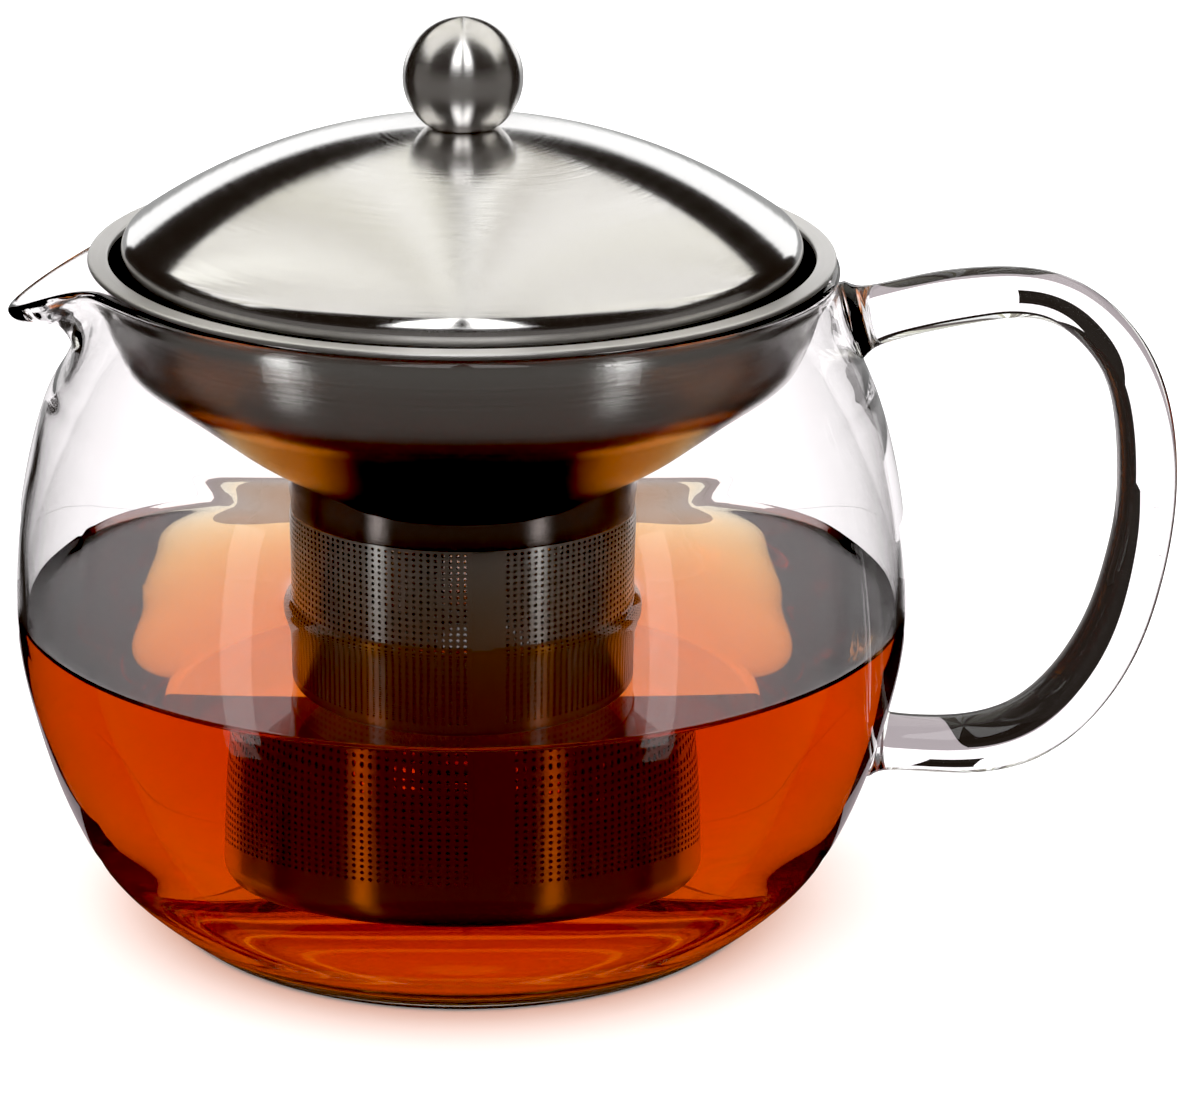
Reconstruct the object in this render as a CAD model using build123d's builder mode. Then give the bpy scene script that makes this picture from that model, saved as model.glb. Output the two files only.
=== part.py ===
from build123d import *
import math
import os

os.makedirs("parts", exist_ok=True)

# Glass teapot with a drop-in stainless infuser and a stainless dome lid.
# Millimetres, +Z up. The origin is the centre of the flat foot of the pot,
# on the pot's own axis. The spout points to -X and the handle to +X.

# ---------------------------------------------------------------- pot glass
BODY_R = 70.0            # widest outer radius
RIM_TOP = 104.7          # top of the glass rim
RIM_OUT = 57.8           # outer radius of the rim bead
RIM_IN = 55.6            # inner radius of the mouth
FOOT_R = 47.6            # flat foot
FLOOR_Z = 4.6            # inside floor, the base is thick
# outer wall, radius and height, from the foot up to the neck
OUTER = [(FOOT_R, 0.0), (53.6, 5.0), (58.2, 10.0), (61.6, 16.0), (64.8, 24.0),
         (67.4, 33.0), (69.3, 42.0), (BODY_R, 52.0), (69.35, 62.0), (67.7, 72.0),
         (64.95, 82.0), (61.6, 90.0), (59.2, 96.0), (57.7, 101.0)]
# inner wall, from the floor up to the mouth
INNER = [(40.0, FLOOR_Z), (48.0, 6.2), (54.6, 10.6), (59.6, 16.5), (63.2, 24.3),
         (65.85, 33.1), (67.75, 42.0), (68.45, 52.0), (67.8, 61.9), (66.1, 71.7),
         (63.3, 81.5), (60.0, 89.3), (57.5, 95.4), (55.9, 100.5)]

# pouring lip: the rim is pulled out and down towards -X
LIP_BASE_OUT = 55.5      # plan radius where the lip's outer outline starts, inside the neck wall
LIP_BASE_IN = 53.4       # the same for its channel, inside the mouth
LIP_TIP_OUT = 70.0       # radius at the tip
LIP_TIP_IN = 67.7
LIP_SIGMA = 11.26        # how quickly the lip falls away around the rim, degrees
LIP_HALF_ANGLE = 24.0
# sections of the underside and of the channel's floor: height, radius on the centre line
LIP_OUT = [(89.0, 58.0), (92.0, 60.2), (93.3, 61.4), (94.2, 63.5), (94.6, 67.5), (95.6, LIP_TIP_OUT)]
LIP_IN = [(91.0, 56.5), (94.5, 58.5), (96.0, 60.5), (96.6, 63.0), (96.9, 66.0), (97.6, LIP_TIP_IN)]
# upper edge of the lip seen from the side, from the neck to the tip
LIP_EDGE = [(-53.5, 104.9), (-56.0, 104.0), (-58.0, 103.0), (-63.0, 101.0),
            (-66.0, 99.5), (-68.4, 98.0), (-71.0, 96.3)]

# handle: a solid glass rod bent in the XZ plane
HANDLE_D = 9.5
HANDLE_PTS = [(59.5, 94.0), (107.4, 106.0), (107.4, 57.5), (93.9, 24.5), (60.5, 25.0)]
HANDLE_RADII = [23.0, 75.0, 24.0]

# ---------------------------------------------------------------- infuser
FLANGE_R = 57.4
FLANGE_IN = 54.3
FLANGE_Z0 = 105.0
FLANGE_Z1 = 105.9
BOWL_T = 0.6
# outer wall of the bowl from the flange down to the collar
BOWL = [(54.9, 105.0), (54.55, 101.0), (54.05, 98.0), (53.5, 95.0), (52.6, 92.0),
        (50.9, 89.0), (47.9, 86.5), (44.4, 84.0), (40.5, 81.0), (35.2, 77.0),
        (30.0, 73.0), (27.3, 70.9)]
COLLAR_R = 27.3
COLLAR_TOP = 70.9
COLLAR_BOTTOM = 66.3
TUBE_R = 27.0
TUBE_T = 0.5
TUBE_BOTTOM = 19.0
SEAM_FROM, SEAM_TO = 2.9, 9.8      # degrees right of the front of the tube
SEAM_T = 0.3
CAP_BOTTOM = 12.6
CAP_T = 0.6
CAP_CORNER = 4.0

# ---------------------------------------------------------------- lid
DOME_R = 89.0            # sphere radius of the spun dome
DOME_TOP = 125.45
LID_R = 52.3             # outer radius of the turned-down edge
LID_EDGE_Z = 105.2
LID_T = 0.7
SHOULDER_R = 3.4         # radius between the dome and its turned-down edge
SKIRT_OUT = 51.6
SKIRT_T = 0.6
SKIRT_TOP = 106.6
SKIRT_BOTTOM = 92.4
BALL_R = 9.2
BALL_Z = 132.9
BALL_FLAT_Z = 125.45
SCREW_D = 4.0
SCREW_HEAD_D = 7.4
SCREW_HEAD_H = 2.4
WASHER_D = 11.0
WASHER_T = 0.9


def lip_points(base, tip):
    """Points of the lip's plan outline, from its +Y side round to its -Y side."""
    pts = []
    n = 16
    for i in range(n + 1):
        d = LIP_HALF_ANGLE - 2 * LIP_HALF_ANGLE * i / n
        r = base + (tip - base) * math.exp(-((d / LIP_SIGMA) ** 2))
        a = math.radians(180.0 - d)
        pts.append((r * math.cos(a), r * math.sin(a)))
    return pts


def dome_z(r, offset=0.0):
    rr = DOME_R - offset
    return DOME_TOP - DOME_R + math.sqrt(rr * rr - r * r)


# ================================================================ pot_body
# Solid of revolution of the outer wall, without the cavity. It also trims the
# handle's two roots, so that they meet the glass face to face.
with BuildPart() as pot_outer:
    with BuildSketch(Plane.XZ):
        with BuildLine():
            Line((0, 0), OUTER[0])
            Spline(*OUTER, tangents=[(1.0, 0.55), (-0.22, 1.0)])
            bead = ThreePointArc(OUTER[-1], (RIM_OUT + 0.2, RIM_TOP - 1.4), (RIM_OUT - 0.9, RIM_TOP))
            Line((RIM_OUT - 0.9, RIM_TOP), (0, RIM_TOP))
            Line((0, RIM_TOP), (0, 0))
        make_face()
    revolve(axis=Axis.Z)

with BuildPart() as lip_outer:
    for h, tip in LIP_OUT:
        with BuildSketch(Plane.XY.offset(h)):
            pts = lip_points(LIP_BASE_OUT, tip)
            with BuildLine():
                Spline(*pts)
                Polyline(pts[-1], (-40.0, -12.0), (-40.0, 12.0), pts[0])
            make_face()
    loft(ruled=True)
    extrude(lip_outer.faces().sort_by(Axis.Z)[-1], amount=12.0)

with BuildPart() as lip_inner:
    for h, tip in LIP_IN:
        with BuildSketch(Plane.XY.offset(h)):
            pts = lip_points(LIP_BASE_IN, tip)
            with BuildLine():
                Spline(*pts)
                Polyline(pts[-1], (-38.0, -11.0), (-38.0, 11.0), pts[0])
            make_face()
    loft(ruled=True)
    extrude(lip_inner.faces().sort_by(Axis.Z)[-1], amount=12.0)

with BuildPart() as pot_body:
    add(pot_outer.part)
    add(lip_outer.part)
    # cavity
    with BuildSketch(Plane.XZ):
        with BuildLine():
            Line((0, FLOOR_Z), INNER[0])
            Spline(*INNER, tangents=[(1.0, 0.04), (-0.22, 1.0)])
            Polyline(INNER[-1], (RIM_IN, 102.0), (RIM_IN, RIM_TOP - 0.7), (RIM_IN + 0.35, RIM_TOP - 0.1), (RIM_IN + 0.6, RIM_TOP + 6.0), (0, RIM_TOP + 6.0))
            Line((0, RIM_TOP + 6.0), (0, FLOOR_Z))
        make_face()
    revolve(axis=Axis.Z, mode=Mode.SUBTRACT)
    add(lip_inner.part, mode=Mode.SUBTRACT)
    # the rim's top plane, and the lip's falling upper edge
    with BuildSketch(Plane.XZ):
        with BuildLine():
            Spline(*LIP_EDGE)
            Polyline(LIP_EDGE[-1], (-75.0, 96.3), (-75.0, 112.0), (-53.5, 112.0), LIP_EDGE[0])
        make_face()
    extrude(amount=40, both=True, mode=Mode.SUBTRACT)
    with BuildSketch(Plane.XY.offset(RIM_TOP)):
        Rectangle(160, 160)
    extrude(amount=10, mode=Mode.SUBTRACT)
pot_body.part.label = "pot_body"
export_step(pot_body.part, "parts/pot_body.step")

# ================================================================ pot_handle
with BuildPart() as pot_handle:
    with BuildLine(Plane.XZ) as handle_path:
        FilletPolyline(*HANDLE_PTS, radius=HANDLE_RADII)
    with BuildSketch(Plane(origin=handle_path.wires()[0] @ 0, z_dir=handle_path.wires()[0] % 0)):
        Circle(HANDLE_D / 2)
    sweep(path=handle_path.wires()[0])
    add(pot_outer.part, mode=Mode.SUBTRACT)
pot_handle.part.label = "pot_handle"
export_step(pot_handle.part, "parts/pot_handle.step")

# ================================================================ infuser
with BuildPart() as infuser_flange:
    with BuildSketch(Plane.XZ):
        with BuildLine():
            Polyline((FLANGE_IN, FLANGE_Z0 + 0.0), (FLANGE_IN, FLANGE_Z1 - 0.25), (FLANGE_IN + 0.25, FLANGE_Z1),
                     (FLANGE_R - 0.45, FLANGE_Z1))
            ThreePointArc((FLANGE_R - 0.45, FLANGE_Z1), (FLANGE_R, (FLANGE_Z0 + FLANGE_Z1) / 2), (FLANGE_R - 0.45, FLANGE_Z0))
            Line((FLANGE_R - 0.45, FLANGE_Z0), (FLANGE_IN, FLANGE_Z0))
        make_face()
    revolve(axis=Axis.Z)
infuser_flange.part.label = "infuser_flange"
export_step(infuser_flange.part, "parts/infuser_flange.step")

# inner face of the bowl's wall, one sheet thickness inside
inner = [(r - (BOWL_T if i < 5 else BOWL_T * 0.8), z + (0.0 if i < 5 else 0.45)) for i, (r, z) in enumerate(BOWL)]
with BuildPart() as infuser_bowl:
    with BuildSketch(Plane.XZ):
        with BuildLine():
            Spline(*BOWL[:8])
            Polyline(BOWL[7], BOWL[-1])
            Line(BOWL[-1], (BOWL[-1][0] - 0.9, BOWL[-1][1]))
            Line((BOWL[-1][0] - 0.9, BOWL[-1][1]), inner[7])
            Spline(*[inner[i] for i in range(7, 0, -1)] + [(BOWL[0][0] - BOWL_T, BOWL[0][1])])
            Line((BOWL[0][0] - BOWL_T, BOWL[0][1]), BOWL[0])
        make_face()
    revolve(axis=Axis.Z)
infuser_bowl.part.label = "infuser_bowl"
export_step(infuser_bowl.part, "parts/infuser_bowl.step")

with BuildPart() as infuser_collar:
    with BuildSketch(Plane.XY.offset(COLLAR_BOTTOM)):
        Circle(COLLAR_R)
        Circle(TUBE_R - TUBE_T, mode=Mode.SUBTRACT)
    extrude(amount=COLLAR_TOP - COLLAR_BOTTOM)
    fillet(infuser_collar.faces().sort_by(Axis.Z)[0].outer_wire().edges(), 0.25)
infuser_collar.part.label = "infuser_collar"
export_step(infuser_collar.part, "parts/infuser_collar.step")

with BuildPart() as infuser_tube:
    with BuildSketch(Plane.XY.offset(TUBE_BOTTOM)):
        Circle(TUBE_R)
        Circle(TUBE_R - TUBE_T, mode=Mode.SUBTRACT)
    extrude(amount=COLLAR_BOTTOM - TUBE_BOTTOM)
infuser_tube.part.label = "infuser_tube"
export_step(infuser_tube.part, "parts/infuser_tube.step")

with BuildPart() as tube_seam:
    with BuildSketch(Plane.XZ):
        with Locations(((TUBE_R + SEAM_T / 2), (TUBE_BOTTOM + COLLAR_BOTTOM) / 2)):
            Rectangle(SEAM_T, COLLAR_BOTTOM - TUBE_BOTTOM)
    revolve(axis=Axis.Z, revolution_arc=SEAM_TO - SEAM_FROM)
tube_seam_part = tube_seam.part.rotate(Axis.Z, -90.0 + SEAM_FROM)
tube_seam_part.label = "tube_seam"
export_step(tube_seam_part, "parts/tube_seam.step")

with BuildPart() as infuser_bottom_cap:
    with BuildSketch(Plane.XZ):
        with BuildLine():
            FilletPolyline((0, CAP_BOTTOM), (TUBE_R, CAP_BOTTOM), (TUBE_R, TUBE_BOTTOM), radius=CAP_CORNER)
            Line((TUBE_R, TUBE_BOTTOM), (TUBE_R - CAP_T, TUBE_BOTTOM))
            FilletPolyline((TUBE_R - CAP_T, TUBE_BOTTOM), (TUBE_R - CAP_T, CAP_BOTTOM + CAP_T), (0, CAP_BOTTOM + CAP_T), radius=CAP_CORNER - CAP_T)
            Line((0, CAP_BOTTOM + CAP_T), (0, CAP_BOTTOM))
        make_face()
    revolve(axis=Axis.Z)
infuser_bottom_cap.part.label = "infuser_bottom_cap"
export_step(infuser_bottom_cap.part, "parts/infuser_bottom_cap.step")

# ================================================================ lid
# shoulder: an arc tangent to the sphere and to the vertical edge
sc_r = LID_R - SHOULDER_R
sc_z = DOME_TOP - DOME_R + math.sqrt((DOME_R - SHOULDER_R) ** 2 - sc_r ** 2)
ang = math.atan2(sc_z - (DOME_TOP - DOME_R), sc_r)
tan_pt = (sc_r + SHOULDER_R * math.cos(ang), sc_z + SHOULDER_R * math.sin(ang))
mid_a = ang / 2
mid_pt = (sc_r + SHOULDER_R * math.cos(mid_a), sc_z + SHOULDER_R * math.sin(mid_a))
in_r = SHOULDER_R - LID_T
tan_in = (sc_r + in_r * math.cos(ang), sc_z + in_r * math.sin(ang))
mid_in = (sc_r + in_r * math.cos(mid_a), sc_z + in_r * math.sin(mid_a))
HOLE = SCREW_D / 2 + 0.2
with BuildPart() as lid_dome:
    with BuildSketch(Plane.XZ):
        with BuildLine():
            ThreePointArc((HOLE, dome_z(HOLE)), (tan_pt[0] * 0.55, dome_z(tan_pt[0] * 0.55)), tan_pt)
            ThreePointArc(tan_pt, mid_pt, (LID_R, sc_z))
            Polyline((LID_R, sc_z), (LID_R, LID_EDGE_Z), (LID_R - LID_T, LID_EDGE_Z), (LID_R - LID_T, sc_z))
            ThreePointArc((LID_R - LID_T, sc_z), mid_in, tan_in)
            ThreePointArc(tan_in, (tan_in[0] * 0.55, dome_z(tan_in[0] * 0.55, LID_T)), (HOLE, dome_z(HOLE, LID_T)))
            Line((HOLE, dome_z(HOLE, LID_T)), (HOLE, dome_z(HOLE)))
        make_face()
    revolve(axis=Axis.Z)
lid_dome.part.label = "lid_dome"
export_step(lid_dome.part, "parts/lid_dome.step")

with BuildPart() as lid_skirt:
    with BuildSketch(Plane.XZ):
        with BuildLine():
            Polyline((SKIRT_OUT, SKIRT_TOP), (SKIRT_OUT, SKIRT_BOTTOM + 0.6), (SKIRT_OUT - 0.5, SKIRT_BOTTOM),
                     (SKIRT_OUT - 0.5 - SKIRT_T, SKIRT_BOTTOM), (SKIRT_OUT - SKIRT_T, SKIRT_BOTTOM + 0.7),
                     (SKIRT_OUT - SKIRT_T, SKIRT_TOP), close=True)
        make_face()
    revolve(axis=Axis.Z)
lid_skirt.part.label = "lid_skirt"
export_step(lid_skirt.part, "parts/lid_skirt.step")

with BuildPart() as knob_ball:
    with BuildSketch(Plane.XZ):
        with BuildLine():
            foot_r = math.sqrt(BALL_R ** 2 - (BALL_Z - BALL_FLAT_Z) ** 2)
            Line((SCREW_D / 2 - 0.25, BALL_FLAT_Z), (foot_r, BALL_FLAT_Z))
            ThreePointArc((foot_r, BALL_FLAT_Z), (BALL_R, BALL_Z), (0, BALL_Z + BALL_R))
            Line((0, BALL_Z + BALL_R), (0, BALL_FLAT_Z + 9.0))
            Line((0, BALL_FLAT_Z + 9.0), (SCREW_D / 2 - 0.25, BALL_FLAT_Z + 8.0))
            Line((SCREW_D / 2 - 0.25, BALL_FLAT_Z + 8.0), (SCREW_D / 2 - 0.25, BALL_FLAT_Z))
        make_face()
    revolve(axis=Axis.Z)
knob_ball.part.label = "knob_ball"
export_step(knob_ball.part, "parts/knob_ball.step")

UNDER_Z = DOME_TOP - LID_T - 0.1
with BuildPart() as knob_washer:
    with BuildSketch(Plane.XY.offset(UNDER_Z - WASHER_T - 0.1)):
        Circle(WASHER_D / 2)
        Circle(SCREW_D / 2 + 0.15, mode=Mode.SUBTRACT)
    extrude(amount=WASHER_T)
knob_washer.part.label = "knob_washer"
export_step(knob_washer.part, "parts/knob_washer.step")

HEAD_TOP = UNDER_Z - WASHER_T - 0.1
with BuildPart() as knob_screw:
    with BuildSketch(Plane.XZ):
        with BuildLine():
            Polyline((0, HEAD_TOP - SCREW_HEAD_H), (SCREW_HEAD_D / 2 - 1.1, HEAD_TOP - SCREW_HEAD_H))
            ThreePointArc((SCREW_HEAD_D / 2 - 1.1, HEAD_TOP - SCREW_HEAD_H), (SCREW_HEAD_D / 2 - 0.3, HEAD_TOP - SCREW_HEAD_H + 0.7), (SCREW_HEAD_D / 2, HEAD_TOP - 0.5))
            Polyline((SCREW_HEAD_D / 2, HEAD_TOP - 0.5), (SCREW_HEAD_D / 2, HEAD_TOP), (SCREW_D / 2 - 0.25, HEAD_TOP),
                     (SCREW_D / 2 - 0.25, BALL_FLAT_Z + 7.2), (SCREW_D / 2 - 0.8, BALL_FLAT_Z + 7.7), (0, BALL_FLAT_Z + 7.7), (0, HEAD_TOP - SCREW_HEAD_H))
        make_face()
    revolve(axis=Axis.Z)
    # cross recess in the head
    with BuildSketch(Plane.XY.offset(HEAD_TOP - SCREW_HEAD_H)):
        Rectangle(4.0, 0.9)
        Rectangle(0.9, 4.0)
    extrude(amount=1.3, mode=Mode.SUBTRACT)
knob_screw.part.label = "knob_screw"
export_step(knob_screw.part, "parts/knob_screw.step")
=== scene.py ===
import bpy
import math
import numpy as np
from mathutils import Matrix, Vector


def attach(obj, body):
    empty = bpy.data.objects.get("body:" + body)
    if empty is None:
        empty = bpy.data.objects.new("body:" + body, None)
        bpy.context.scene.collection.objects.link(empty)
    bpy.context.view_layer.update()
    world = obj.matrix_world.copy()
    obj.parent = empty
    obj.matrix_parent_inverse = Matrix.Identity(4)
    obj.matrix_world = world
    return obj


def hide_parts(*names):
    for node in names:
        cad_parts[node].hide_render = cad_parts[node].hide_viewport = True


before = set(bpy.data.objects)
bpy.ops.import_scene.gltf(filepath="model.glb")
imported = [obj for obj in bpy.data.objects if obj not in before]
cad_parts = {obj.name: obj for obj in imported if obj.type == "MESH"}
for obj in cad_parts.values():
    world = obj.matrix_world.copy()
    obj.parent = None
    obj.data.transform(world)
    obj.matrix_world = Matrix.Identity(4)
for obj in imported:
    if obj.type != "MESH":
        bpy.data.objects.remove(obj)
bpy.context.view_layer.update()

MM = 0.001
PI = math.pi

# ------------------------------------------------------------------ numbers
# millimetres, the same frame as the CAD: foot centre at the origin, +Z up,
# lip to -X, handle to +X
OUTER = [(47.6, 0.0), (53.6, 5.0), (58.2, 10.0), (61.6, 16.0), (64.8, 24.0),
         (67.4, 33.0), (69.3, 42.0), (70.0, 52.0), (69.35, 62.0), (67.7, 72.0),
         (64.95, 82.0)]
INNER = [(40.0, 4.6), (48.0, 6.2), (54.6, 10.6), (59.6, 16.5), (63.2, 24.3),
         (65.85, 33.1), (67.75, 42.0), (68.45, 52.0), (67.8, 61.9), (66.1, 71.7),
         (63.3, 81.5)]
# neck and rim: plain section, and the section on the lip's centre line
NECK_OUT = [((63.95, 84.6), (63.75, 84.6)), ((63.05, 86.6), (62.3, 86.5)), ((62.1, 88.8), (60.95, 88.7)),
            ((61.2, 91.0), (59.8, 90.3)), ((60.4, 93.0), (59.95, 91.7)), ((59.6, 95.0), (61.2, 93.3)),
            ((58.8, 97.3), (62.9, 94.2)), ((58.15, 99.5), (65.2, 94.6)), ((57.75, 101.3), (67.4, 94.5)),
            ((57.75, 102.5), (69.0, 94.9)), ((57.95, 103.2), (69.75, 95.6)), ((57.95, 103.8), (69.98, 96.3)),
            ((57.65, 104.35), (69.75, 96.85)), ((57.15, 104.65), (69.3, 97.15)), ((56.6, 104.7), (68.7, 97.25)),
            ((56.05, 104.6), (67.9, 97.15)), ((55.7, 104.2), (66.9, 96.95)), ((55.6, 103.4), (65.6, 96.8)),
            ((55.65, 102.2), (64.2, 96.7)), ((55.85, 100.7), (62.6, 96.5)), ((56.5, 98.4), (60.9, 95.8)),
            ((57.5, 95.4), (59.2, 94.2)), ((58.7, 92.4), (58.2, 92.0)), ((60.0, 89.3), (58.7, 89.2)),
            ((61.4, 86.1), (60.9, 86.1)), ((62.4, 83.7), (62.2, 83.7))]
# handle rod: centre line in the XZ plane and diameter
HANDLE = [(58.2, 94.1, 9.6), (62.9, 95.3, 9.3), (66.8, 96.3, 9.1), (73.75, 97.9, 9.0), (79.6, 98.8, 8.6),
          (85.3, 99.2, 8.0), (90.4, 98.6, 7.7), (95.6, 96.3, 7.6), (100.1, 92.3, 7.8), (103.2, 88.0, 8.1),
          (106.0, 80.4, 8.9), (107.25, 71.7, 9.4), (107.35, 63.9, 9.5), (106.1, 54.5, 9.8), (103.9, 45.8, 10.1),
          (100.6, 38.3, 10.4), (96.3, 32.2, 10.5), (89.7, 26.8, 10.4), (84.2, 24.9, 10.0), (78.0, 24.3, 9.4),
          (70.5, 24.6, 9.1), (66.0, 24.9, 9.2), (62.9, 25.1, 9.4)]
LEVEL = 49.4
FLANGE_R, FLANGE_IN, FLANGE_Z0, FLANGE_Z1 = 57.4, 54.3, 105.0, 105.9
BOWL_T = 0.6
BOWL = [(54.9, 105.0), (54.55, 101.0), (54.05, 98.0), (53.5, 95.0), (52.6, 92.0),
        (50.9, 89.0), (47.9, 86.5), (44.4, 84.0), (40.5, 81.0), (35.2, 77.0),
        (30.0, 73.0), (27.3, 70.9)]
COLLAR_R, COLLAR_TOP, COLLAR_BOTTOM = 27.3, 70.9, 66.3
TUBE_R, TUBE_T, TUBE_BOTTOM = 27.0, 0.5, 19.0
SEAM_FROM, SEAM_TO, PLAIN_TO = 2.9, 9.8, 13.0
CAP_BOTTOM, CAP_T, CAP_CORNER = 12.6, 0.6, 4.0
DOME_R, DOME_TOP, LID_R, LID_EDGE_Z, LID_T, SHOULDER_R = 89.0, 125.45, 52.3, 105.2, 0.7, 3.4
SKIRT_OUT, SKIRT_T, SKIRT_TOP, SKIRT_BOTTOM = 51.6, 0.6, 106.6, 92.4
BALL_R, BALL_Z, BALL_FLAT_Z = 9.2, 132.9, 125.45


# ------------------------------------------------------------------ helpers
def spline(pts, per):
    """A natural cubic spline through pts, with per steps between neighbours."""
    p = np.array(pts, float)
    n = len(p)
    t = np.concatenate([[0.0], np.cumsum(np.linalg.norm(np.diff(p, axis=0), axis=1))])
    h = np.diff(t)
    a = np.zeros((n, n))
    b = np.zeros((n, p.shape[1]))
    a[0, 0] = a[-1, -1] = 1.0
    for i in range(1, n - 1):
        a[i, i - 1], a[i, i], a[i, i + 1] = h[i - 1], 2 * (h[i - 1] + h[i]), h[i]
        b[i] = 6 * ((p[i + 1] - p[i]) / h[i] - (p[i] - p[i - 1]) / h[i - 1])
    m = np.linalg.solve(a, b)
    out = []
    for i in range(n - 1):
        for k in range(per):
            u = t[i] + h[i] * k / per
            x, y = t[i + 1] - u, u - t[i]
            out.append((m[i] * x ** 3 + m[i + 1] * y ** 3) / (6 * h[i])
                       + (p[i] / h[i] - m[i] * h[i] / 6) * x + (p[i + 1] / h[i] - m[i + 1] * h[i] / 6) * y)
    out.append(p[-1])
    return [tuple(q) for q in out]


def arc(cx, cz, r, a0, a1, n):
    return [(cx + r * math.cos(math.radians(a0 + (a1 - a0) * i / n)),
             cz + r * math.sin(math.radians(a0 + (a1 - a0) * i / n))) for i in range(n + 1)]


def make(name, verts, faces, body, nodes=(), sharp=32.0):
    me = bpy.data.meshes.new(name)
    me.from_pydata([tuple(float(c) for c in v) for v in verts], [], faces)
    me.validate()
    me.update()
    ob = bpy.data.objects.new(name, me)
    bpy.context.scene.collection.objects.link(ob)
    me.shade_smooth()
    if sharp:
        me.set_sharp_from_angle(angle=math.radians(sharp))
    if body:
        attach(ob, body)
    if nodes:
        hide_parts(*nodes)
    return ob


def lathe_data(profile, angles):
    """Verts and faces of a closed profile (r, z in mm) turned about Z. Points on the axis become one vertex."""
    verts, rows = [], []
    for r, z in profile:
        if r < 1e-6:
            rows.append([len(verts)])
            verts.append((0.0, 0.0, z * MM))
        else:
            rows.append(list(range(len(verts), len(verts) + len(angles))))
            verts += [(r * MM * math.cos(a), r * MM * math.sin(a), z * MM) for a in angles]
    faces = []
    n = len(angles)
    m = len(profile)
    for j in range(m):
        a, b = rows[j], rows[(j + 1) % m]
        if len(a) == 1 and len(b) == 1:
            continue
        for i in range(n):
            k = (i + 1) % n
            if len(a) == 1:
                faces.append((a[0], b[k], b[i]))
            elif len(b) == 1:
                faces.append((a[i], a[k], b[0]))
            else:
                faces.append((a[i], a[k], b[k], b[i]))
    return verts, faces


def lathe(name, profile, body, nodes=(), seg=256, sharp=32.0):
    angles = [2 * PI * i / seg for i in range(seg)]
    verts, faces = lathe_data(profile, angles)
    return make(name, verts, faces, body, nodes, sharp)


def flip_if_inside_out(ob):
    """Outward normals on a closed mesh, by the sign of its volume."""
    me = ob.data
    co = np.empty(len(me.vertices) * 3)
    me.vertices.foreach_get("co", co)
    co = co.reshape(-1, 3)
    me.calc_loop_triangles()
    t = np.empty(len(me.loop_triangles) * 3, int)
    me.loop_triangles.foreach_get("vertices", t)
    t = t.reshape(-1, 3)
    vol = np.einsum("ij,ij->i", co[t[:, 0]], np.cross(co[t[:, 1]], co[t[:, 2]])).sum()
    if vol < 0:
        me.flip_normals()
    return ob


# ------------------------------------------------------------------ materials
def new_mat(name):
    m = bpy.data.materials.new(name)
    m.use_nodes = True
    nt = m.node_tree
    b = nt.nodes["Principled BSDF"]
    return m, nt, b


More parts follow.
